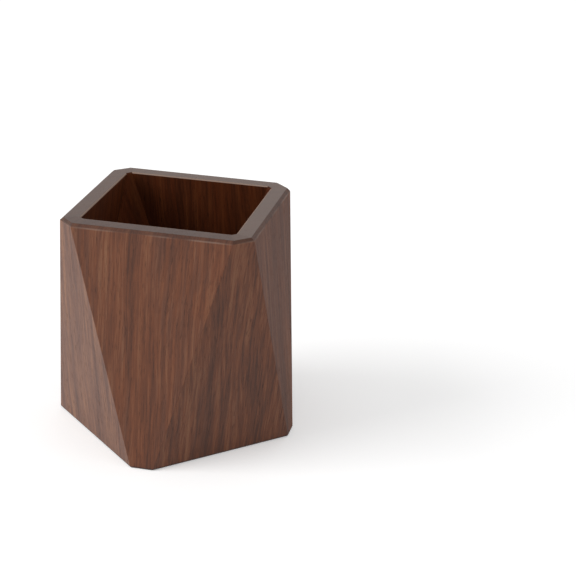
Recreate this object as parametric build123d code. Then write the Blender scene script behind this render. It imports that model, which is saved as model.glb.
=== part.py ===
from build123d import *
import math
import os

# Faceted pen holder in walnut: four side boards and four corner boards, mitred together round a base
# panel that is let into a rebate. The mouth is a square, the base is a square turned by an eighth turn,
# and both have their corners cut back, so every facet is one flat board. Lengths are in millimetres and
# angles in degrees, +Z is up, the front faces -Y, and the origin is on the floor under the mouth's middle.

# Overall form, measured outside
height = 100.0
mouth_side = 81.0
mouth_corner_cut = 6.5
base_side = 80.0
base_corner_cut = 6.7

# Board thicknesses
side_thickness = 8.0
corner_thickness = 8.0

# Worked edges: the bevel outside the rim, the eased edge inside it, the flat sanded along each ridge
# and the bevel round the foot
rim_bevel = 1.3
mouth_ease = 0.4
ridge_flat = 0.3
foot_bevel = 0.6

# Base panel: it reaches into the boards by the rebate, and its underside stands clear of the floor
panel_thickness = 5.0
panel_lift = 0.5
panel_ease = 0.4
rebate_depth = 4.0
panel_clearance = 0.05

# How far stock and cutters run past the finished piece
saw_overrun = 10.0

# Directions: the sides face a quarter turn apart, counted from +X, and the corners lie halfway between
quarter_turn = 90.0
eighth_turn = 45.0
side_names = ("right", "back", "left", "front")
corner_names = ("back_right", "back_left", "front_left", "front_right")

# A reach is the level distance from the axis to a board's outer face, at the rim or on the floor
diagonal = math.sqrt(2.0)
side_rim_reach = mouth_side / 2
side_foot_reach = (base_side - base_corner_cut) / diagonal
corner_rim_reach = (mouth_side - mouth_corner_cut) / diagonal
corner_foot_reach = base_side / 2
rim_corner_offset = mouth_side / 2 - mouth_corner_cut

# Stock that every board can be sawn from
stock_length = height * diagonal + saw_overrun
stock_width = (mouth_side + base_side) / 2 * diagonal + saw_overrun

# Where the base panel lies
panel_top = panel_lift + panel_thickness


def outward(azimuth):
    """Level unit direction away from the axis."""
    return Vector(1, 0, 0).rotate(Axis.Z, azimuth)


def facet_normal(azimuth, rim_reach, foot_reach):
    """Outward normal of a facet that leans from its rim reach to its foot reach."""
    return (outward(azimuth) * height + Vector(0, 0, foot_reach - rim_reach)).normalized()


def side_normal(azimuth):
    return facet_normal(azimuth, side_rim_reach, side_foot_reach)


def corner_normal(azimuth):
    return facet_normal(azimuth, corner_rim_reach, corner_foot_reach)


def inner_reach(rim_reach, foot_reach, thickness, level):
    """Level distance from the axis to a board's inner face at a given height."""
    lean = (rim_reach - foot_reach) / height
    return foot_reach + lean * level - thickness * math.hypot(1, lean)


def stock_board(azimuth, rim_reach, foot_reach, thickness):
    """A board with its outer face on the facet, longer and wider than the finished piece."""
    middle = outward(azimuth) * ((rim_reach + foot_reach) / 2) + Vector(0, 0, height / 2)
    facet = Plane(
        origin=middle,
        x_dir=outward(azimuth + quarter_turn),
        z_dir=facet_normal(azimuth, rim_reach, foot_reach),
    )
    return facet * Pos(0, 0, -thickness / 2) * Box(stock_width, stock_length, thickness)


def saw(board, point, waste):
    """Cuts a board through a point and drops the part that the waste direction points to."""
    return split(board, bisect_by=Plane(origin=point, z_dir=waste), keep=Keep.BOTTOM)


def rim_corner(side_azimuth, turn):
    """Outer corner of the rim between a side and the corner board one eighth turn from it."""
    along = outward(side_azimuth + 2 * turn)
    return outward(side_azimuth) * side_rim_reach + along * rim_corner_offset + Vector(0, 0, height)


def cut_joint(board, side_azimuth, turn, from_side):
    """Saws the mitre between a side and its corner, and eases the ridge over it."""
    ridge = rim_corner(side_azimuth, turn)
    side_way = side_normal(side_azimuth)
    corner_way = corner_normal(side_azimuth + turn)
    across = corner_way * side_thickness - side_way * corner_thickness
    board = saw(board, ridge, across if from_side else -across)
    crown = (side_way + corner_way).normalized()
    ridge_ease = ridge_flat / 2 * math.tan(math.radians(crown.get_angle(side_way)))
    return saw(board, ridge - crown * ridge_ease, crown)


def finish_board(board, azimuth):
    """Trims a mitred board at rim and floor, works its edges and cuts its rebate."""
    up = Vector(0, 0, 1)
    board = saw(board, up * height, up)
    board = saw(board, Vector(0, 0, 0), -up)
    away = Axis(origin=(0, 0, 0), direction=outward(azimuth))
    rim_edges = board.faces().sort_by(Axis.Z)[-1].edges().sort_by(away)
    foot_edges = board.faces().sort_by(Axis.Z)[0].edges().sort_by(away)
    inner_rim, outer_rim, outer_foot = rim_edges[0], rim_edges[-1], foot_edges[-1]
    board = chamfer(outer_rim, rim_bevel)
    board = chamfer(board.edges().sort_by_distance(inner_rim.center())[0], mouth_ease)
    board = chamfer(board.edges().sort_by_distance(outer_foot.center())[0], foot_bevel)
    return board - panel_blank(panel_clearance, -saw_overrun)


def side_board(azimuth):
    """A wide board: the full width of the mouth at the rim, a cut corner at the foot."""
    board = stock_board(azimuth, side_rim_reach, side_foot_reach, side_thickness)
    board = cut_joint(board, azimuth, eighth_turn, True)
    board = cut_joint(board, azimuth, -eighth_turn, True)
    return finish_board(board, azimuth)


def corner_board(azimuth):
    """A board the other way up: a cut corner at the rim, the full side of the base at the foot."""
    board = stock_board(azimuth, corner_rim_reach, corner_foot_reach, corner_thickness)
    board = cut_joint(board, azimuth - eighth_turn, eighth_turn, False)
    board = cut_joint(board, azimuth + eighth_turn, -eighth_turn, False)
    return finish_board(board, azimuth)


def panel_blank(clearance, bottom):
    """Upright octagon of the base panel's outline, grown by a clearance, from bottom to the panel's top."""
    side_in = inner_reach(side_rim_reach, side_foot_reach, side_thickness, panel_top)
    corner_in = inner_reach(corner_rim_reach, corner_foot_reach, corner_thickness, panel_top)
    across_sides = 2 * (side_in + rebate_depth + clearance)
    across_corners = 2 * (corner_in + rebate_depth + clearance)
    outline = Rectangle(across_sides, across_sides)
    outline &= Rot(0, 0, eighth_turn) * Rectangle(across_corners, across_corners)
    return Pos(0, 0, bottom) * extrude(outline, amount=panel_top - bottom)


def base_panel():
    """The octagonal panel in the rebate, with its lower edge eased."""
    panel = panel_blank(0, panel_lift)
    return chamfer(panel.faces().sort_by(Axis.Z)[0].edges(), panel_ease)


def main():
    pieces = {"base_panel": base_panel()}
    for step, name in enumerate(side_names):
        pieces[f"side_board_{name}"] = side_board(step * quarter_turn)
    for step, name in enumerate(corner_names):
        pieces[f"corner_board_{name}"] = corner_board(step * quarter_turn + eighth_turn)
    os.makedirs("parts", exist_ok=True)
    for name, piece in pieces.items():
        piece.label = name
        export_step(piece, f"parts/{name}.step")


main()
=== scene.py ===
"""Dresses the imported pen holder: eight mitred walnut boards round a base panel, in a white studio."""

import math
from typing import NamedTuple

import bpy
from bpy.props import FloatProperty, FloatVectorProperty, PointerProperty
from bpy.types import Operator, Panel, PropertyGroup
from mathutils import Matrix, Vector


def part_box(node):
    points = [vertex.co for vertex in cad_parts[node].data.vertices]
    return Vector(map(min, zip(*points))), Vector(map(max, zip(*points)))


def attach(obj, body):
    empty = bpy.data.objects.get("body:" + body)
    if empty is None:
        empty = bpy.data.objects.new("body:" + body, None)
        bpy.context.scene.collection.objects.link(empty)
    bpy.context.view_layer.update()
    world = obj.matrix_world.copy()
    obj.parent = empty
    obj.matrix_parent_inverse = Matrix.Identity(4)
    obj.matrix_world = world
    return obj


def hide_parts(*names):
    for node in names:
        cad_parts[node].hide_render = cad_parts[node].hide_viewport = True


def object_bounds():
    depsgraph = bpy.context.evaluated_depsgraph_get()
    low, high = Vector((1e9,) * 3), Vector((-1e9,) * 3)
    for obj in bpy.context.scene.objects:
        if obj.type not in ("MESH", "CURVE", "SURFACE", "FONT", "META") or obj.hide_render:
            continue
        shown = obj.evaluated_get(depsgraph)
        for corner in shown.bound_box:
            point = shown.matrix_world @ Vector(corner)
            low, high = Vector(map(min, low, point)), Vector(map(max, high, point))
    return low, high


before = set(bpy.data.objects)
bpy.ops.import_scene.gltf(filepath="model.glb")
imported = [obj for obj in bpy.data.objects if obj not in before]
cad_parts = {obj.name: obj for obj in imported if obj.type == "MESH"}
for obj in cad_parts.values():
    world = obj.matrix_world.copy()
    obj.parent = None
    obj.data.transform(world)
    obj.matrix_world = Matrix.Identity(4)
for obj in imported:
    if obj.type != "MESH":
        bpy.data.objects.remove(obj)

bl_info = {
    "name": "Walnut Pen Holder",
    "version": (1, 0, 0),
    "blender": (4, 5, 0),
    "location": "View3D > Sidebar > Pen Holder",
    "description": "Dresses a faceted walnut pen holder and sets it in a white studio",
    "category": "Mesh",
}

MM = 0.001
DIAGONAL = math.sqrt(2.0)
QUARTER_TURN = math.radians(90.0)
EIGHTH_TURN = math.radians(45.0)
UP = Vector((0.0, 0.0, 1.0))
WHITE = (1.0, 1.0, 1.0, 1.0)

# The CAD part's own boxes, which the dressed boards have to fit
CAD_LOW, CAD_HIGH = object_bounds()
PANEL_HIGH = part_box("base_panel")[1]


def length(name, description, default):
    """A size in metres, shown in the scene's unit of length."""
    return FloatProperty(name=name, description=description, default=default, min=0.0, precision=5,
                         unit="LENGTH", subtype="DISTANCE")


def spot(name, description, default):
    """A point in metres."""
    return FloatVectorProperty(name=name, description=description, default=default, size=3,
                               unit="LENGTH", subtype="TRANSLATION")


def colour(name, description, default):
    """A linear colour."""
    return FloatVectorProperty(name=name, description=description, default=default, size=3,
                               min=0.0, max=1.0, subtype="COLOR")


def share(name, description, default):
    """A number from nothing to all."""
    return FloatProperty(name=name, description=description, default=default, min=0.0, max=1.0,
                         subtype="FACTOR")


def angle(name, description, default):
    """An angle, kept in radians and given here in degrees."""
    return FloatProperty(name=name, description=description, default=math.radians(default),
                         unit="ROTATION", subtype="ANGLE")


class HolderForm(PropertyGroup):
    """Sizes of the boards, measured outside."""

    height: length("Height", "From the floor to the rim", CAD_HIGH.z - CAD_LOW.z)
    mouth_side: length("Mouth side", "Side of the square mouth", 81.0 * MM)
    mouth_corner_cut: length("Mouth corner cut", "How far the mouth's corners are cut back", 6.5 * MM)
    base_side: length("Base side", "Side of the base, a square turned by an eighth", 80.0 * MM)
    base_corner_cut: length("Base corner cut", "How far the base's corners are cut back", 6.7 * MM)
    side_thickness: length("Side thickness", "Thickness of the side boards", 8.0 * MM)
    corner_thickness: length("Corner thickness", "Thickness of the corner boards", 8.0 * MM)
    rim_bevel: length("Rim bevel", "Width of the bevel outside the rim", 1.3 * MM)
    mouth_ease: length("Mouth ease", "Width of the eased edge inside the rim", 0.4 * MM)
    foot_bevel: length("Foot bevel", "Width of the bevel round the foot", 0.6 * MM)
    ridge_round: length("Ridge round", "How far the sanded round of a ridge reaches into a board", 0.3 * MM)
    arris_radius: length("Arris radius", "Radius that sanding leaves on a sharp edge", 0.25 * MM)
    panel_clearance: length("Panel clearance", "Gap between the base panel and its rebate", 0.05 * MM)


class WalnutFinish(PropertyGroup):
    """Colours and scales of the oiled walnut."""

    heartwood: colour("Heartwood", "Main colour of the wood", (0.160, 0.053, 0.024))
    dark_streak: colour("Dark streak", "Colour of the darkest streaks", (0.076, 0.028, 0.016))
    light_streak: colour("Light streak", "Colour of the palest streaks", (0.226, 0.099, 0.050))
    pore: colour("Pore", "Colour inside the open pores", (0.034, 0.014, 0.009))
    grey_cast: colour("Grey cast", "Colour that the cooler patches lean to", (0.112, 0.050, 0.033))
    ring_width: length("Ring width", "Average width of a growth ring", 4.2 * MM)
    pore_length: length("Pore length", "Length of a pore along the grain", 4.5 * MM)
    pore_width: length("Pore width", "Width of a pore across the grain", 0.26 * MM)
    end_grain_darkening: share("End grain darkening", "How much darker the wood is across the grain", 0.80)
    # Pale colour painted on the rim's edges and top: wear with painted highlight, and painted sheen on the
    # top
    rubbed_and_painted_highlight: colour("Rubbed And Painted Highlight", "Colour of the rim's edges, rubbed pale", (0.300, 0.210, 0.165))
    # The colour inside the holder is multiplied by this: painted shade
    inside_painted_shade: colour("Inside stain", "What the oil leaves of the colour inside", (0.61, 0.39, 0.21))
    satin: share("Satin", "Roughness of the oiled surface", 0.42)
    matt_inside: share("Matt inside", "Roughness that the unpolished inside has on top", 0.25)


class StudioStage(PropertyGroup):
    """The camera, the lamp and the floor."""

    camera_place: spot("Camera place", "Where the camera stands", (175.44 * MM, -630.16 * MM, 320.2 * MM))
    camera_yaw: angle("Camera yaw", "Turn of the camera away from +Y", 11.42)
    camera_pitch: angle("Camera pitch", "How far the camera looks down", 21.50)
    camera_roll: angle("Camera roll", "Turn of the camera about its own line of sight", 2.34)
    lens: FloatProperty(name="Lens", description="Focal length", default=102.41, min=1.0, unit="CAMERA")
    floor_size: length("Floor size", "Side of the square floor", 12.0)
    floor_colour: colour("Floor colour", "Pale floor", (0.90, 0.90, 0.90))
    floor_glow: share("Floor glow", "What the floor is lifted by towards white in the picture", 0.32)
    daylight: share("Daylight", "Strength of the even light from all round", 0.60)
    key_place: spot("Key place", "Where the large lamp hangs", (-2.90, -1.68, 2.18))
    key_size: length("Key size", "Side of the large square lamp", 2.4)
    key_power: FloatProperty(name="Key power", description="Power of the large lamp", default=91.0, min=0.0,
                             unit="POWER")


def feed(tree, socket, value):
    """Links a socket to another one, or sets its plain value."""
    if isinstance(value, bpy.types.NodeSocket):
        tree.links.new(value, socket)
    else:
        socket.default_value = value


def put(tree, kind, feeds=None, **settings):
    """Adds a node, sets its options and feeds its inputs."""
    made = tree.nodes.new(kind)
    for name, value in settings.items():
        setattr(made, name, value)
    for key, value in (feeds or {}).items():
        feed(tree, made.inputs[key], value)
    return made


def reckon(tree, operation, *terms, clamp=False):
    """Result of one sum on numbers."""
    made = put(tree, "ShaderNodeMath", dict(enumerate(terms)), operation=operation, use_clamp=clamp)
    return made.outputs[0]


def reckon_vector(tree, operation, *terms):
    """Result of one sum on vectors."""
    made = put(tree, "ShaderNodeVectorMath", dict(enumerate(terms)), operation=operation)
    return made.outputs["Value" if operation in ("LENGTH", "DOT_PRODUCT") else "Vector"]


def scale_vector(tree, vector, factor):
    """A vector times a number."""
    made = put(tree, "ShaderNodeVectorMath", {0: vector, "Scale": factor}, operation="SCALE")
    return made.outputs["Vector"]


def ramp(tree, value, low, high, smooth=True):
    """0 below low, 1 above high and a slope between."""
    kind = "SMOOTHSTEP" if smooth else "LINEAR"
    made = put(tree, "ShaderNodeMapRange", {"Value": value, "From Min": low, "From Max": high},
               interpolation_type=kind)
    return made.outputs["Result"]


# Sockets of a Mix node for each kind of value, by number because their names repeat: first, second, result
NUMBER_SOCKETS = (2, 3, 0)
COLOUR_SOCKETS = (6, 7, 2)


def between(tree, factor, start, end):
    """A number on the straight line from start to end, also past them."""
    first, second, result = NUMBER_SOCKETS
    made = put(tree, "ShaderNodeMix", {"Factor": factor, first: start, second: end}, clamp_factor=False)
    return made.outputs[result]


def blend_colour(tree, factor, start, end, mode="MIX"):
    """Mix of two colours."""
    first, second, result = COLOUR_SOCKETS
    made = put(tree, "ShaderNodeMix", {"Factor": factor, first: start, second: end}, data_type="RGBA",
               blend_type=mode)
    return made.outputs[result]


def add_sockets(tree, side, kind, names, subtype=None):
    """Gives a tree named inputs or outputs of one kind."""
    for name in names:
        socket = tree.interface.new_socket(name, in_out=side, socket_type=kind)
        if subtype:
            socket.subtype = subtype


def tree_named(name, make):
    """A node tree by its name, made on its first use."""
    return bpy.data.node_groups.get(name) or make(name)


def bare_tree(owner):
    """The emptied node tree of a new material or world."""
    owner.use_nodes = True
    owner.node_tree.nodes.clear()
    return owner.node_tree


def add_object(name, data):
    """A new object in the scene."""
    made = bpy.data.objects.new(name, data)
    bpy.context.scene.collection.objects.link(made)
    return made


class BoardShape:
    """Where one kind of board lies: its facet, its thickness and its mitres, all in level sections."""

    def __init__(self, form, rim_reach, foot_reach, thickness, rim_half, foot_half):
        self.height = form.height
        self.rim_reach = rim_reach
        self.foot_reach = foot_reach
        self.rim_half = rim_half
        self.foot_half = foot_half
        self.lean = (rim_reach - foot_reach) / form.height
        self.slant = math.hypot(1.0, self.lean)
        self.thickness = thickness
        self.level_thickness = thickness * self.slant
        self.rim_bevel = form.rim_bevel
        self.foot_bevel = form.foot_bevel

    def outer(self, level):
        """Distance from the axis to the outer face at a height."""
        return self.foot_reach + self.lean * level

    def inner(self, level):
        """Distance from the axis to the inner face at a height."""
        return self.outer(level) - self.level_thickness

    def mitre_slope(self, neighbour):
        """How fast the board narrows on its way in from the outer face."""
        return (DIAGONAL * neighbour.level_thickness - self.level_thickness) / self.level_thickness

    def frame(self, azimuth):
        """Axes of a board in the object: across it, along its grain and out of its face."""
        outward = Vector((math.cos(azimuth), math.sin(azimuth), 0.0))
        across = Vector((-math.sin(azimuth), math.cos(azimuth), 0.0))
        along = (outward * self.lean + UP).normalized()
        axes = Matrix((across, along, across.cross(along))).transposed().to_4x4()
        axes.translation = outward * (self.rim_reach + self.foot_reach) / 2 + UP * self.height / 2
        return axes


def board_shapes(form):
    """The side board and the corner board."""
    side_rim = form.mouth_side / 2
    side_foot = (form.base_side - form.base_corner_cut) / DIAGONAL
    corner_rim = (form.mouth_side - form.mouth_corner_cut) / DIAGONAL
    corner_foot = form.base_side / 2
    side = BoardShape(form, side_rim, side_foot, form.side_thickness,
                      DIAGONAL * corner_rim - side_rim, DIAGONAL * corner_foot - side_foot)
    corner = BoardShape(form, corner_rim, corner_foot, form.corner_thickness,
                        DIAGONAL * side_rim - corner_rim, DIAGONAL * side_foot - corner_foot)
    return side, corner


def section_points(form, shape, rebate_reach):
    """Corners of a board's section, from the rebate up and over: reach, height and radius of the edge."""
    rim_step = form.rim_bevel / shape.slant
    ease_step = form.mouth_ease / shape.slant
    foot_step = form.foot_bevel / shape.slant
    top = form.height
    panel_top = PANEL_HIGH.z
    round_edge = form.arris_radius
    fine_edge = form.mouth_ease / 2
    return (
        (rebate_reach, 0.0, 0.0),
        (rebate_reach, panel_top, 0.0),
        (shape.inner(panel_top), panel_top, 0.0),
        (shape.inner(top - ease_step), top - ease_step, fine_edge),
        (shape.inner(top) + form.mouth_ease, top, fine_edge),
        (shape.outer(top) - form.rim_bevel, top, round_edge),
        (shape.outer(top - rim_step), top - rim_step, round_edge),
        (shape.outer(foot_step), foot_step, round_edge),
        (shape.outer(0.0) - form.foot_bevel, 0.0, round_edge),
    )


EDGE_RADIUS = "arris"


def section_mesh(name, points):
    """A closed outline of edges, with the radius of each corner as an attribute."""
    mesh = bpy.data.meshes.new(name)
    count = len(points)
    edges = [(i, (i + 1) % count) for i in range(count)]
    mesh.from_pydata([(reach, level, 0.0) for reach, level, radius in points], edges, [])
    radii = mesh.attributes.new(EDGE_RADIUS, "FLOAT", "POINT")
    for item, (reach, level, radius) in zip(radii.data, points):
        item.value = radius
    return mesh


BOARD_LENGTHS = ("Rim Reach", "Foot Reach", "Height", "Rim Half Width", "Foot Half Width", "Rim Bevel",
                 "Ridge Round")
BOARD_SLOPES = ("Mitre Slope", "Ridge Slope")
ARRIS_STEPS = 4
SMOOTH_BELOW = math.radians(30.0)

# Stations across a board, one unit apart and counted from its middle, half of them for each ridge
RIDGE_STATIONS = 5
STATIONS = 2 * RIDGE_STATIONS
LAST_STATION = (STATIONS - 1) / 2


def swept_section(tree, section):
    """The section with its edges rounded, swept over the stations."""
    outline = put(tree, "GeometryNodeMeshToCurve", {"Mesh": section})
    radius = put(tree, "GeometryNodeInputNamedAttribute", {"Name": EDGE_RADIUS}, data_type="FLOAT")
    outline = put(tree, "GeometryNodeFilletCurve", {
        "Curve": outline.outputs[0], "Count": ARRIS_STEPS, "Radius": radius.outputs["Attribute"],
        "Limit Radius": True}, mode="POLY")
    stations = put(tree, "GeometryNodeMeshLine", {
        "Count": STATIONS, "Start Location": (-LAST_STATION, 0.0, 0.0), "Offset": (1.0, 0.0, 0.0)})
    stations = put(tree, "GeometryNodeMeshToCurve", {"Mesh": stations.outputs[0]})
    swept = put(tree, "GeometryNodeCurveToMesh", {
        "Curve": stations.outputs[0], "Profile Curve": outline.outputs[0], "Fill Caps": True})
    return swept.outputs[0]


def mitred_place(tree, given):
    """Where each swept point goes: out to its mitre, and in where the ridge is rounded."""
    point = put(tree, "GeometryNodeInputPosition").outputs[0]
    point = put(tree, "ShaderNodeSeparateXYZ", {0: point}).outputs
    station = point["X"]
    reach = reckon(tree, "MULTIPLY", point["Y"], -1.0)
    level = reckon(tree, "MULTIPLY", point["Z"], -1.0)
    rise = reckon(tree, "DIVIDE", level, given["Height"])
    outer = between(tree, rise, given["Foot Reach"], given["Rim Reach"])
    half_width = between(tree, rise, given["Foot Half Width"], given["Rim Half Width"])
    depth = reckon(tree, "SUBTRACT", outer, reach)

    # The board narrows along its mitre with depth, and the inner stations keep clear of the mitre
    steps_in = reckon(tree, "SUBTRACT", LAST_STATION, reckon(tree, "ABSOLUTE", station))
    setback_share = reckon(tree, "DIVIDE", steps_in, RIDGE_STATIONS - 1.0)
    setback = reckon(tree, "MULTIPLY", setback_share, given["Ridge Round"])
    mitre = reckon(tree, "SUBTRACT", half_width, reckon(tree, "MULTIPLY", depth, given["Mitre Slope"]))
    sideways = reckon(tree, "SUBTRACT", mitre, setback)
    sideways = reckon(tree, "MULTIPLY", sideways, reckon(tree, "SIGN", station))

    # The ridge falls away in a round towards the mitre, on the outer face only
    near = reckon(tree, "SUBTRACT", 1.0, setback_share)
    fall = reckon(tree, "MULTIPLY", reckon(tree, "MULTIPLY", near, near), given["Ridge Slope"])
    fall = reckon(tree, "MULTIPLY", fall, reckon(tree, "DIVIDE", given["Ridge Round"], 2.0))
    outside = reckon(tree, "SUBTRACT", 1.0, reckon(tree, "DIVIDE", depth, given["Rim Bevel"]), clamp=True)
    fall = reckon(tree, "MULTIPLY", fall, outside)
    inward = reckon(tree, "SUBTRACT", fall, reach)
    return put(tree, "ShaderNodeCombineXYZ", {"X": sideways, "Y": inward, "Z": level}).outputs[0]


def mitred_board_tree(name):
    """Sweeps a board's section between its two mitres, rounds the ridges and turns it into place."""
    tree = bpy.data.node_groups.new(name, "GeometryNodeTree")
    add_sockets(tree, "INPUT", "NodeSocketGeometry", ("Section",))
    add_sockets(tree, "INPUT", "NodeSocketFloat", BOARD_LENGTHS, "DISTANCE")
    add_sockets(tree, "INPUT", "NodeSocketFloat", BOARD_SLOPES)
    add_sockets(tree, "INPUT", "NodeSocketFloat", ("Turn",), "ANGLE")
    add_sockets(tree, "INPUT", "NodeSocketMaterial", ("Wood",))
    add_sockets(tree, "OUTPUT", "NodeSocketGeometry", ("Board",))
    given = tree.nodes.new("NodeGroupInput").outputs
    board = put(tree, "GeometryNodeSetPosition", {
        "Geometry": swept_section(tree, given["Section"]), "Position": mitred_place(tree, given)})

    # Rounded edges are shaded smooth, the others stay sharp
    bend = put(tree, "GeometryNodeInputMeshEdgeAngle").outputs[0]
    gentle = put(tree, "FunctionNodeCompare", {0: bend, 1: SMOOTH_BELOW}, operation="LESS_THAN").outputs[0]
    for domain, smooth in (("EDGE", gentle), ("FACE", True)):
        board = put(tree, "GeometryNodeSetShadeSmooth", {
            "Geometry": board.outputs[0], "Shade Smooth": smooth}, domain=domain)

    turn = put(tree, "ShaderNodeCombineXYZ", {"Z": given["Turn"]}).outputs[0]
    board = put(tree, "GeometryNodeTransform", {"Geometry": board.outputs[0], "Rotation": turn})
    board = put(tree, "GeometryNodeRealizeInstances", {"Geometry": board.outputs[0]})
    board = put(tree, "GeometryNodeSetMaterial", {"Geometry": board.outputs[0], "Material": given["Wood"]})
    put(tree, "NodeGroupOutput", {0: board.outputs[0]})
    return tree


def settle(piece):
    """Turns a piece's modifiers into a plain mesh."""
    depsgraph = bpy.context.evaluated_depsgraph_get()
    mesh = bpy.data.meshes.new_from_object(piece.evaluated_get(depsgraph), depsgraph=depsgraph)
    piece.modifiers.clear()
    piece.data = mesh


def make_board(form, name, node, azimuth, shape, neighbour, rebate_reach, wood):
    """One board, made by the tree and standing for its CAD node."""
    mesh = section_mesh(name + "_section", section_points(form, shape, rebate_reach))
    piece = add_object(name, mesh)
    tree = tree_named("Mitred board", mitred_board_tree)
    facing = shape.frame(0.0).col[2].to_3d()
    neighbour_facing = neighbour.frame(EIGHTH_TURN).col[2].to_3d()
    sizes = {
        "Rim Reach": shape.rim_reach,
        "Foot Reach": shape.foot_reach,
        "Height": form.height,
        "Rim Half Width": shape.rim_half,
        "Foot Half Width": shape.foot_half,
        "Rim Bevel": form.rim_bevel,
        "Ridge Round": form.ridge_round,
        "Mitre Slope": shape.mitre_slope(neighbour),
        "Ridge Slope": math.tan(facing.angle(neighbour_facing) / 2),
        "Turn": azimuth + QUARTER_TURN,
        "Wood": wood,
    }
    grown = piece.modifiers.new("Mitred board", "NODES")
    grown.node_group = tree
    for item in tree.interface.items_tree:
        if item.in_out == "INPUT" and item.name in sizes:
            grown[item.identifier] = sizes[item.name]
    weighted = piece.modifiers.new("Flat faces", "WEIGHTED_NORMAL")
    weighted.keep_sharp = True
    settle(piece)
    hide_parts(node)
    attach(piece, "root")


class Streaks(NamedTuple):
    """One set of streaks: the size of its lumps, how ragged they are and its weight in the tone."""

    lump: tuple
    raggedness: float
    weight: float


FIGURE_NUMBERS = ("Pith Across", "Pith Depth", "Drift", "Seed", "Paleness And Painted Light", "Contrast", "Coolness And Painted Sheen",
                  "End Grain", "Inside", "Rub And Painted Highlight", "Ring Width", "Pore Length", "Pore Width",
                  "End Grain Darkening", "Satin", "Matt Inside")
FIGURE_COLOURS = ("Heartwood", "Dark Streak", "Light Streak", "Pore", "Grey Cast", "Rubbed And Painted Highlight", "Inside Painted Shade")

# How far apart two seeds lie in the log, in millimetres
SEED_STEP = (37.1, 113.7, 71.3)

# Noise runs from 0 to 1 about its mean. Its lumps are measured across, along and through the grain in
# millimetres
NOISE_MEAN = 0.5
NOISE_DETAIL = 2.0
NOISE_ROUGHNESS = 0.5

# How the fibres wander sideways, in long bends and short ripples: the lumps and the full span of the shift
BEND_LUMP, BEND_SPAN = (34.0, 120.0, 34.0), (9.0, 0.0, 9.0)
RIPPLE_LUMP, RIPPLE_SPAN = (7.0, 26.0, 7.0), (0.9, 0.0, 0.9)

# Streaks that follow the rings have lumps in rings and in millimetres along. Threads are single fibres
RING_STREAKS = (
    Streaks(lump=(2.1, 260.0, 1.0), raggedness=0.55, weight=0.6),
    Streaks(lump=(0.62, 70.0, 1.0), raggedness=0.6, weight=1.0),
    Streaks(lump=(0.20, 26.0, 1.0), raggedness=0.6, weight=0.85),
)
THREADS = Streaks(lump=(0.55, 12.0, 0.55), raggedness=0.6, weight=0.6)

# Tones that lead from the darkest streaks to the heartwood, and from there to the palest ones
MIDDLE_TONE = 0.5
DARK_TONES = (0.12, 0.56)
PALE_TONES = (0.52, 1.0)

# Cooler patches and cooler streaks count alike
COOL_PATCH_LUMP = (24.0, 90.0, 24.0)
COOL_STREAK_LUMP = (1.5, 34.0, 1.5)
COOL_WEIGHT = 0.5
COOL_RANGE = (0.40, 0.62)
COOL_STRENGTH = 0.6

# A pore shows where its noise passes a level, which is lower in the early part of a ring
PORE_DETAIL = 1.0
EARLY_LUMP = (0.5, 300.0, 1.0)
EARLY_DETAIL = 0.0
PORE_LEVEL = 0.68
EARLY_LEVEL_DROP = 0.16
PORE_SOFTNESS = 0.10
PORE_STRENGTH = 0.5
PORE_ROUGHNESS = 0.15
THREAD_HEIGHT = 0.5


def noise(tree, place, lump, detail=NOISE_DETAIL, roughness=NOISE_ROUGHNESS):
    """Noise whose lumps have the given size across, along and through, in the unit of the place."""
    scaled = reckon_vector(tree, "DIVIDE", place, lump)
    made = put(tree, "ShaderNodeTexNoise", {
        "Vector": scaled, "Scale": 1.0, "Detail": detail, "Roughness": roughness}, noise_dimensions="3D")
    return made.outputs


def sideways_shift(tree, place, lump, span):
    """A smooth shift of the fibres, by up to half the span to each side."""
    shift = noise(tree, place, lump)["Color"]
    shift = reckon_vector(tree, "SUBTRACT", shift, (NOISE_MEAN, NOISE_MEAN, NOISE_MEAN))
    return reckon_vector(tree, "MULTIPLY", shift, span)


def ring_place(tree, given, fibre):
    """Rings counted from the pith, which drifts away along the board, and the place along the grain."""
    parts = put(tree, "ShaderNodeSeparateXYZ", {0: fibre}).outputs
    from_pith = put(tree, "ShaderNodeCombineXYZ", {
        "X": reckon(tree, "SUBTRACT", parts["X"], given["Pith Across"]),
        "Z": reckon(tree, "SUBTRACT", parts["Z"], given["Pith Depth"])}).outputs[0]
    radius = reckon_vector(tree, "LENGTH", from_pith)
    radius = reckon(tree, "MULTIPLY_ADD", parts["Y"], given["Drift"], radius)
    rings = reckon(tree, "DIVIDE", radius, reckon(tree, "DIVIDE", given["Ring Width"], MM))
    seed = reckon(tree, "MULTIPLY", given["Seed"], SEED_STEP[2])
    return put(tree, "ShaderNodeCombineXYZ", {"X": rings, "Y": parts["Y"], "Z": seed}).outputs[0]


def streak_tone(tree, given, growth, threads):
    """How pale the wood is: broad, medium and fine streaks along the rings, with the threads among them,
    shifted by the board's tone, which on some boards is painted light and shade.
    """
    parts = [(streaks, noise(tree, growth, streaks.lump, roughness=streaks.raggedness)["Fac"])
             for streaks in RING_STREAKS]
    total = 0.0
    for streaks, part in (*parts, (THREADS, threads)):
        swing = reckon(tree, "SUBTRACT", part, NOISE_MEAN)
        total = reckon(tree, "MULTIPLY_ADD", swing, streaks.weight, total)
    tone = reckon(tree, "ADD", MIDDLE_TONE, given["Paleness And Painted Light"])
    return reckon(tree, "MULTIPLY_ADD", total, given["Contrast"], tone)


def cool_cast(tree, given, seeded, seeded_fibre):
    """How far the colour leans to grey: grey patches and streaks in the wood, with a shift that on one board
    is painted sheen.
    """
    patch = noise(tree, seeded, COOL_PATCH_LUMP)["Fac"]
    streak = noise(tree, seeded_fibre, COOL_STREAK_LUMP)["Fac"]
    cool = reckon(tree, "MULTIPLY_ADD", reckon(tree, "ADD", patch, streak), COOL_WEIGHT, given["Coolness And Painted Sheen"])
    return reckon(tree, "MULTIPLY", ramp(tree, cool, *COOL_RANGE), COOL_STRENGTH)


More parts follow.
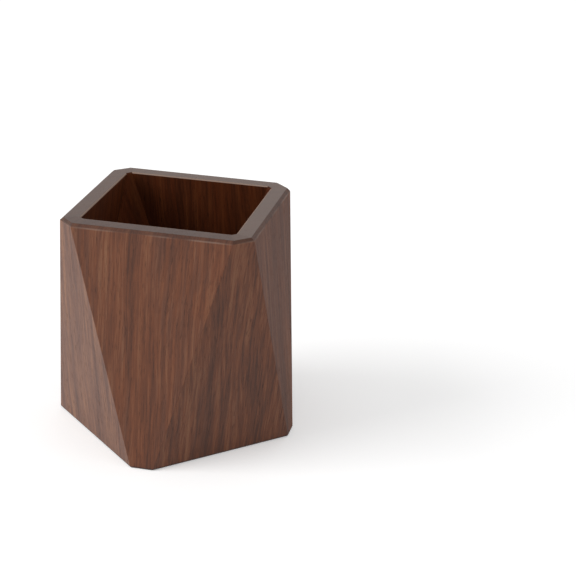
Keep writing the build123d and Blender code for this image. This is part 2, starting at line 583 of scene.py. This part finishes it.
def open_pores(tree, given, growth, seeded_fibre):
    """Where the pores are: short strokes, denser in the early part of a ring."""
    width = reckon(tree, "DIVIDE", given["Pore Width"], MM)
    stroke = reckon(tree, "DIVIDE", given["Pore Length"], MM)
    lump = put(tree, "ShaderNodeCombineXYZ", {"X": width, "Y": stroke, "Z": width}).outputs[0]
    speck = noise(tree, seeded_fibre, lump, PORE_DETAIL)["Fac"]
    early = noise(tree, growth, EARLY_LUMP, EARLY_DETAIL)["Fac"]
    level = reckon(tree, "MULTIPLY_ADD", early, -EARLY_LEVEL_DROP, PORE_LEVEL)
    return ramp(tree, reckon(tree, "SUBTRACT", speck, level), 0.0, PORE_SOFTNESS)


def walnut_figure_tree(name):
    """Solid walnut in a board's own coordinates: rings about a pith, streaks and pores along the grain."""
    tree = bpy.data.node_groups.new(name, "ShaderNodeTree")
    add_sockets(tree, "INPUT", "NodeSocketVector", ("Place",))
    add_sockets(tree, "INPUT", "NodeSocketFloat", FIGURE_NUMBERS)
    add_sockets(tree, "INPUT", "NodeSocketColor", FIGURE_COLOURS)
    add_sockets(tree, "OUTPUT", "NodeSocketColor", ("Colour",))
    add_sockets(tree, "OUTPUT", "NodeSocketFloat", ("Roughness", "Height"))
    given = tree.nodes.new("NodeGroupInput").outputs

    # Millimetres, moved to another part of the log for each board, and shifted as the fibres wander
    place = scale_vector(tree, given["Place"], 1.0 / MM)
    offset = scale_vector(tree, SEED_STEP, given["Seed"])
    seeded = reckon_vector(tree, "ADD", place, offset)
    bend = sideways_shift(tree, seeded, BEND_LUMP, BEND_SPAN)
    ripple = sideways_shift(tree, seeded, RIPPLE_LUMP, RIPPLE_SPAN)
    fibre = reckon_vector(tree, "ADD", place, reckon_vector(tree, "ADD", bend, ripple))
    seeded_fibre = reckon_vector(tree, "ADD", fibre, offset)
    growth = ring_place(tree, given, fibre)

    # Colour by tone, and the pores
    threads = noise(tree, seeded_fibre, THREADS.lump, roughness=THREADS.raggedness)["Fac"]
    tone = streak_tone(tree, given, growth, threads)
    cool = cool_cast(tree, given, seeded, seeded_fibre)
    middle = blend_colour(tree, cool, given["Heartwood"], given["Grey Cast"])
    shade = blend_colour(tree, ramp(tree, tone, *DARK_TONES, smooth=False), given["Dark Streak"], middle)
    shade = blend_colour(tree, ramp(tree, tone, *PALE_TONES, smooth=False), shade, given["Light Streak"])
    pores = open_pores(tree, given, growth, seeded_fibre)
    shade = blend_colour(tree, reckon(tree, "MULTIPLY", pores, PORE_STRENGTH), shade, given["Pore"])

    # Across the grain the wood drinks more oil and is darker, and the foot's bevel is darkened with it as
    # painted contact shadow; the inside is darkened as painted shade, and the edges are pale with wear,
    # painted highlight and painted sheen
    dark = reckon(tree, "MULTIPLY", given["End Grain"], given["End Grain Darkening"])
    shade = blend_colour(tree, dark, shade, given["Pore"])
    # Painted shade inside the holder
    shade = blend_colour(tree, given["Inside"], shade, given["Inside Painted Shade"], "MULTIPLY")
    shade = blend_colour(tree, given["Rub And Painted Highlight"], shade, given["Rubbed And Painted Highlight"])

    # Pores are rough and one unit deep, and the threads stand up between them
    rough = reckon(tree, "MULTIPLY_ADD", pores, PORE_ROUGHNESS, given["Satin"])
    rough = reckon(tree, "MULTIPLY_ADD", given["Inside"], given["Matt Inside"], rough)
    height = reckon(tree, "MULTIPLY_ADD", pores, -1.0, reckon(tree, "MULTIPLY", threads, THREAD_HEIGHT))
    put(tree, "NodeGroupOutput", {0: shade, 1: rough, 2: height})
    return tree


# Pale edge lines, wear with painted highlight: their width, the strength of the painted highlight outside
# the rim and its patches
EDGE_LINE_WIDTH = 0.4 * MM
ARRIS_PAINTED_HIGHLIGHT = 0.35
ARRIS_PATCH = (16.0 * MM, 16.0 * MM, 16.0 * MM)
HIGHLIGHT_PATCHES = (0.40, 0.65)

# How squarely a surface cuts the grain, from where it begins to count to where it counts in full: as the
# eased edge of the mouth, as end grain and as the level top of the rim
EASED_EDGE = (0.3, 0.7)
END_GRAIN = (0.45, 0.85)
LEVEL_TOP = (0.85, 0.97)

# The oiled surface
OIL_IOR = 1.5
OIL_GLOSS = 0.28
INSIDE_GLOSS = 0.10
PORE_DEPTH = 0.03 * MM
RELIEF = 0.5


def board_zones(tree, place, shape, across_grain):
    """Where a board is inside the holder, where its rim is painted pale as wear and painted highlight, and
    where its foot is painted dark as contact shadow.
    """
    parts = put(tree, "ShaderNodeSeparateXYZ", {0: place}).outputs
    depth = reckon(tree, "MULTIPLY", parts["Z"], -1.0)
    half_length = shape.height / 2 * shape.slant
    inside = ramp(tree, depth, shape.thickness - 2 * EDGE_LINE_WIDTH, shape.thickness - EDGE_LINE_WIDTH)

    # The eased edge of the mouth, pale with wear and a painted highlight
    high = ramp(tree, parts["Y"], half_length - 2 * EDGE_LINE_WIDTH, half_length - EDGE_LINE_WIDTH)
    mouth = reckon(tree, "MULTIPLY", inside, high)
    mouth = reckon(tree, "MULTIPLY", mouth, ramp(tree, across_grain, *EASED_EDGE))

    # The lower edge of the bevel outside the rim, a painted highlight in patches
    from_arris = reckon(tree, "SUBTRACT", parts["Y"], half_length - shape.rim_bevel)
    from_arris = reckon(tree, "ABSOLUTE", from_arris)
    arris = reckon(tree, "SUBTRACT", 1.0, ramp(tree, from_arris, EDGE_LINE_WIDTH / 2, EDGE_LINE_WIDTH))
    outside = reckon(tree, "SUBTRACT", 1.0, inside)
    highlight_patches = ramp(tree, noise(tree, place, ARRIS_PATCH)["Fac"], *HIGHLIGHT_PATCHES)
    arris = reckon(tree, "MULTIPLY", reckon(tree, "MULTIPLY", arris, outside), highlight_patches)
    rub_and_painted_highlight = reckon(tree, "MAXIMUM", mouth, reckon(tree, "MULTIPLY", arris, ARRIS_PAINTED_HIGHLIGHT))

    # The foot's bevel, darkened as painted contact shadow
    above_foot = ramp(tree, parts["Y"], shape.foot_bevel - half_length, 2 * shape.foot_bevel - half_length)
    return inside, rub_and_painted_highlight, reckon(tree, "SUBTRACT", 1.0, above_foot)


def own_place(tree, axes):
    """Object coordinates, moved and turned to a board's own axes."""
    where = put(tree, "ShaderNodeTexCoord").outputs["Object"]
    mapped = put(tree, "ShaderNodeMapping", {
        "Vector": where, "Location": axes.translation, "Rotation": axes.to_euler()}, vector_type="TEXTURE")
    return mapped.outputs[0]


class Cut(NamedTuple):
    """How a board lies in the log, and how it differs from its neighbours."""

    # Where the pith is from the middle of the facet, and how far the rings drift for each length of board
    pith_across: float
    pith_depth: float
    drift: float

    # Turn of the grain in degrees, and the seed of the board's own figure
    grain_turn: float
    seed: float

    # Shift of the tone, strength of the streaks and lean to grey; on some boards the shift is painted light
    # and shade, and the lean is painted sheen
    paleness_and_painted_light: float = 0.0
    contrast: float = 1.0
    coolness_and_painted_sheen: float = 0.0

    # Roughness on top and strength of the reflection on the facet, and how much painted sheen the level top
    # of the rim gets
    matt: float = 0.0
    gloss: float = OIL_GLOSS
    painted_rim_sheen: float = 0.0


def oil_surface(tree, figure, gloss):
    """The oiled surface of a figure, with its pores open."""
    bump = put(tree, "ShaderNodeBump", {
        "Strength": RELIEF, "Distance": PORE_DEPTH, "Height": figure["Height"]})
    surface = put(tree, "ShaderNodeBsdfPrincipled", {
        "Base Color": figure["Colour"], "Roughness": figure["Roughness"], "IOR": OIL_IOR,
        "Specular IOR Level": gloss, "Normal": bump.outputs[0]})
    put(tree, "ShaderNodeOutputMaterial", {"Surface": surface.outputs[0]})


def walnut(name, finish, axes, shape, cut):
    """A piece's own walnut: the figure turned into it, on an oiled satin surface."""
    wood = bpy.data.materials.new(name)
    tree = bare_tree(wood)
    grain = axes @ Matrix.Rotation(math.radians(cut.grain_turn), 4, "Z")
    normal = put(tree, "ShaderNodeTexCoord").outputs["Normal"]
    across_grain = reckon_vector(tree, "DOT_PRODUCT", normal, grain.col[1].to_3d())
    across_grain = reckon(tree, "ABSOLUTE", across_grain)
    end_grain = ramp(tree, across_grain, *END_GRAIN)

    # A board has zones, and the base panel lies inside as a whole
    inside, rub_and_painted_highlight, gloss = 1.0, 0.0, INSIDE_GLOSS
    if shape:
        inside, rub_and_painted_highlight, foot = board_zones(tree, own_place(tree, axes), shape, across_grain)
        # The foot's bevel joins the end grain's darkening: painted contact shadow
        end_grain = reckon(tree, "MAXIMUM", end_grain, foot)
        # The level top of the rim is painted paler towards the rubbed colour: painted sheen
        level_top = ramp(tree, across_grain, *LEVEL_TOP)
        rub_and_painted_highlight = reckon(tree, "MAXIMUM", rub_and_painted_highlight, reckon(tree, "MULTIPLY", level_top, cut.painted_rim_sheen))
        gloss = reckon(tree, "MULTIPLY_ADD", end_grain, OIL_GLOSS - cut.gloss, cut.gloss)
        gloss = reckon(tree, "MULTIPLY_ADD", inside, INSIDE_GLOSS - OIL_GLOSS, gloss)

    figure = put(tree, "ShaderNodeGroup", node_tree=tree_named("Walnut figure", walnut_figure_tree))
    feeds = {
        "Place": own_place(tree, grain),
        "Pith Across": cut.pith_across / MM,
        "Pith Depth": cut.pith_depth / MM,
        "Drift": cut.drift,
        "Seed": cut.seed,
        "Paleness And Painted Light": cut.paleness_and_painted_light,
        "Contrast": cut.contrast,
        "Coolness And Painted Sheen": cut.coolness_and_painted_sheen,
        "End Grain": end_grain,
        "Inside": inside,
        "Rub And Painted Highlight": rub_and_painted_highlight,
        "Ring Width": finish.ring_width,
        "Pore Length": finish.pore_length,
        "Pore Width": finish.pore_width,
        "End Grain Darkening": finish.end_grain_darkening,
        "Satin": reckon(tree, "MULTIPLY_ADD", end_grain, -cut.matt, finish.satin + cut.matt),
        "Matt Inside": finish.matt_inside,
        "Heartwood": (*finish.heartwood, 1.0),
        "Dark Streak": (*finish.dark_streak, 1.0),
        "Light Streak": (*finish.light_streak, 1.0),
        "Pore": (*finish.pore, 1.0),
        "Grey Cast": (*finish.grey_cast, 1.0),
        "Rubbed And Painted Highlight": (*finish.rubbed_and_painted_highlight, 1.0),
        "Inside Painted Shade": (*finish.inside_painted_shade, 1.0),
    }
    for key, value in feeds.items():
        feed(tree, figure.inputs[key], value)
    oil_surface(tree, figure.outputs, gloss)
    return wood


# The cut of each board, by where it faces: a quarter turn apart, from +X for the sides and an eighth of a
# turn further for the corners
SIDE_CUTS = {
    # The right board is painted darker: painted shade
    "right": Cut(pith_across=95.0 * MM, pith_depth=-40.0 * MM, drift=0.05, grain_turn=-3.0, seed=2.0,
                 paleness_and_painted_light=-0.15, matt=0.2, gloss=0.18, painted_rim_sheen=0.22),
    "back": Cut(pith_across=-110.0 * MM, pith_depth=-60.0 * MM, drift=-0.03, grain_turn=-2.0, seed=3.0,
                painted_rim_sheen=0.22),
    "left": Cut(pith_across=80.0 * MM, pith_depth=-50.0 * MM, drift=0.04, grain_turn=3.0, seed=4.0,
                paleness_and_painted_light=0.04, painted_rim_sheen=0.15),
    "front": Cut(pith_across=-130.0 * MM, pith_depth=-45.0 * MM, drift=0.02, grain_turn=-1.3, seed=1.0,
                 painted_rim_sheen=0.04),
}
CORNER_CUTS = {
    "back_right": Cut(pith_across=15.0 * MM, pith_depth=-48.0 * MM, drift=0.16, grain_turn=4.0, seed=6.0,
                      paleness_and_painted_light=-0.04, painted_rim_sheen=0.2),
    "back_left": Cut(pith_across=-20.0 * MM, pith_depth=-55.0 * MM, drift=-0.14, grain_turn=-3.0, seed=7.0,
                     painted_rim_sheen=0.15),
    # The front left board is painted paler and greyer: painted light and painted sheen
    "front_left": Cut(pith_across=90.0 * MM, pith_depth=-40.0 * MM, drift=0.03, grain_turn=-3.0, seed=35.3,
                      paleness_and_painted_light=0.15, contrast=1.3, coolness_and_painted_sheen=0.12, painted_rim_sheen=0.05),
    "front_right": Cut(pith_across=-60.0 * MM, pith_depth=-70.0 * MM, drift=0.05, grain_turn=-3.5, seed=31.5,
                       paleness_and_painted_light=-0.05, contrast=1.3, coolness_and_painted_sheen=-0.08, painted_rim_sheen=0.1),
}
PANEL_CUT = Cut(pith_across=10.0 * MM, pith_depth=-70.0 * MM, drift=0.08, grain_turn=0.0, seed=9.0)


def make_boards(scene, kind, cuts, first_azimuth, shape, neighbour, rebate_reach):
    """Four boards of one kind, a quarter turn apart, each in its own wood."""
    for step, (facing, cut) in enumerate(cuts.items()):
        azimuth = step * QUARTER_TURN + first_azimuth
        wood = walnut(f"walnut_{kind}_{facing}", scene.walnut_finish, shape.frame(azimuth), shape, cut)
        make_board(scene.holder_form, f"{facing}_{kind}", f"{kind}_board_{facing}", azimuth, shape,
                   neighbour, rebate_reach, wood)


class PENHOLDER_OT_side_boards(Operator):
    """Make the four side boards, wide at the rim"""

    bl_idname = "pen_holder.side_boards"
    bl_label = "Side Boards"

    def execute(self, context):
        form = context.scene.holder_form
        side, corner = board_shapes(form)
        rebate_reach = PANEL_HIGH.x + form.panel_clearance
        make_boards(context.scene, "side", SIDE_CUTS, 0.0, side, corner, rebate_reach)
        return {"FINISHED"}


class PENHOLDER_OT_corner_boards(Operator):
    """Make the four corner boards, wide at the foot"""

    bl_idname = "pen_holder.corner_boards"
    bl_label = "Corner Boards"

    def execute(self, context):
        form = context.scene.holder_form
        side, corner = board_shapes(form)
        rebate_depth = PANEL_HIGH.x - side.inner(PANEL_HIGH.z)
        rebate_reach = corner.inner(PANEL_HIGH.z) + rebate_depth + form.panel_clearance
        make_boards(context.scene, "corner", CORNER_CUTS, EIGHTH_TURN, corner, side, rebate_reach)
        return {"FINISHED"}


class PENHOLDER_OT_base_panel(Operator):
    """Give the base panel its own walnut, with the grain from side to side"""

    bl_idname = "pen_holder.base_panel"
    bl_label = "Base Panel"

    def execute(self, context):
        axes = Matrix.Rotation(-QUARTER_TURN, 4, "Z")
        axes.translation = UP * PANEL_HIGH.z
        wood = walnut("walnut_base_panel", context.scene.walnut_finish, axes, None, PANEL_CUT)
        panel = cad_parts["base_panel"]
        panel.data.materials.clear()
        panel.data.materials.append(wood)
        return {"FINISHED"}


def seen_rays(tree):
    """1 for rays that show the surroundings: seen directly, mirrored or through glass."""
    path = put(tree, "ShaderNodeLightPath").outputs
    seen = reckon(tree, "MAXIMUM", path["Is Camera Ray"], path["Is Glossy Ray"])
    return reckon(tree, "MAXIMUM", seen, path["Is Transmission Ray"])


def floor_material(stage):
    """Pale floor, lifted towards white where it is seen, with the shadows kept."""
    paint = bpy.data.materials.new("studio_floor")
    tree = bare_tree(paint)
    matt = put(tree, "ShaderNodeBsdfDiffuse", {"Color": (*stage.floor_colour, 1.0)})
    lift = reckon(tree, "MULTIPLY", seen_rays(tree), stage.floor_glow)
    glow = put(tree, "ShaderNodeEmission", {"Color": WHITE, "Strength": lift})
    lifted = put(tree, "ShaderNodeAddShader", {0: matt.outputs[0], 1: glow.outputs[0]})
    put(tree, "ShaderNodeOutputMaterial", {"Surface": lifted.outputs[0]})
    return paint


def lay_floor(stage):
    """A flat square under the object."""
    half = stage.floor_size / 2
    mesh = bpy.data.meshes.new("floor")
    corners = [(-half, -half, 0.0), (half, -half, 0.0), (half, half, 0.0), (-half, half, 0.0)]
    mesh.from_pydata(corners, [], [(0, 1, 2, 3)])
    mesh.materials.append(floor_material(stage))
    floor = add_object("floor", mesh)


def hang_lamp(name, place, size, power):
    """A square soft lamp that faces the middle of the object."""
    lamp = bpy.data.lights.new(name, "AREA")
    lamp.size = size
    lamp.energy = power
    hung = add_object(name, lamp)
    hung.location = place
    middle = (CAD_LOW + CAD_HIGH) / 2
    hung.rotation_euler = (middle - Vector(place)).to_track_quat("-Z", "Y").to_euler()


def light_surroundings(stage):
    """Even light from all round, seen as plain white."""
    world = bpy.data.worlds.new("studio")
    tree = bare_tree(world)
    even = put(tree, "ShaderNodeBackground", {"Color": WHITE, "Strength": stage.daylight})
    white = put(tree, "ShaderNodeBackground", {"Color": WHITE, "Strength": 1.0})
    mixed = put(tree, "ShaderNodeMixShader", {0: seen_rays(tree), 1: even.outputs[0], 2: white.outputs[0]})
    put(tree, "ShaderNodeOutputWorld", {"Surface": mixed.outputs[0]})
    bpy.context.scene.world = world


def set_camera(stage):
    """The camera, turned, tipped down and rolled from a level view along +Y."""
    view = bpy.data.cameras.new("camera")
    view.lens = stage.lens
    view.clip_end = stage.floor_size * 2
    camera = add_object("camera", view)
    turned = Matrix.Rotation(stage.camera_yaw, 4, "Z")
    tipped = Matrix.Rotation(QUARTER_TURN - stage.camera_pitch, 4, "X")
    rolled = Matrix.Rotation(stage.camera_roll, 4, "Z")
    camera.matrix_world = Matrix.Translation(stage.camera_place) @ turned @ tipped @ rolled
    bpy.context.scene.camera = camera


class PENHOLDER_OT_stage(Operator):
    """Lay the floor, hang the lamp and set the camera"""

    bl_idname = "pen_holder.stage"
    bl_label = "Studio Stage"

    def execute(self, context):
        stage = context.scene.studio_stage
        context.scene.view_settings.view_transform = "Standard"
        lay_floor(stage)
        light_surroundings(stage)
        hang_lamp("key_lamp", stage.key_place, stage.key_size, stage.key_power)
        set_camera(stage)
        return {"FINISHED"}


class PENHOLDER_PT_sidebar(Panel):
    """Sizes, finish and stage of the pen holder, and the operators that make it"""

    bl_label = "Pen Holder"
    bl_idname = "PENHOLDER_PT_sidebar"
    bl_space_type = "VIEW_3D"
    bl_region_type = "UI"
    bl_category = "Pen Holder"

    def draw(self, context):
        column = self.layout.column()
        for group in (context.scene.holder_form, context.scene.walnut_finish, context.scene.studio_stage):
            for name in group.__annotations__:
                column.prop(group, name)
        for operator in OPERATORS:
            column.operator(operator.bl_idname)


OPERATORS = (
    PENHOLDER_OT_side_boards,
    PENHOLDER_OT_corner_boards,
    PENHOLDER_OT_base_panel,
    PENHOLDER_OT_stage,
)
CLASSES = (HolderForm, WalnutFinish, StudioStage, *OPERATORS, PENHOLDER_PT_sidebar)


def register():
    for made in CLASSES:
        bpy.utils.register_class(made)
    bpy.types.Scene.holder_form = PointerProperty(type=HolderForm)
    bpy.types.Scene.walnut_finish = PointerProperty(type=WalnutFinish)
    bpy.types.Scene.studio_stage = PointerProperty(type=StudioStage)


def unregister():
    del bpy.types.Scene.studio_stage
    del bpy.types.Scene.walnut_finish
    del bpy.types.Scene.holder_form
    for made in reversed(CLASSES):
        bpy.utils.unregister_class(made)


def main():
    register()
    bpy.ops.pen_holder.side_boards()
    bpy.ops.pen_holder.corner_boards()
    bpy.ops.pen_holder.base_panel()
    bpy.ops.pen_holder.stage()


if __name__ == "__main__":
    main()
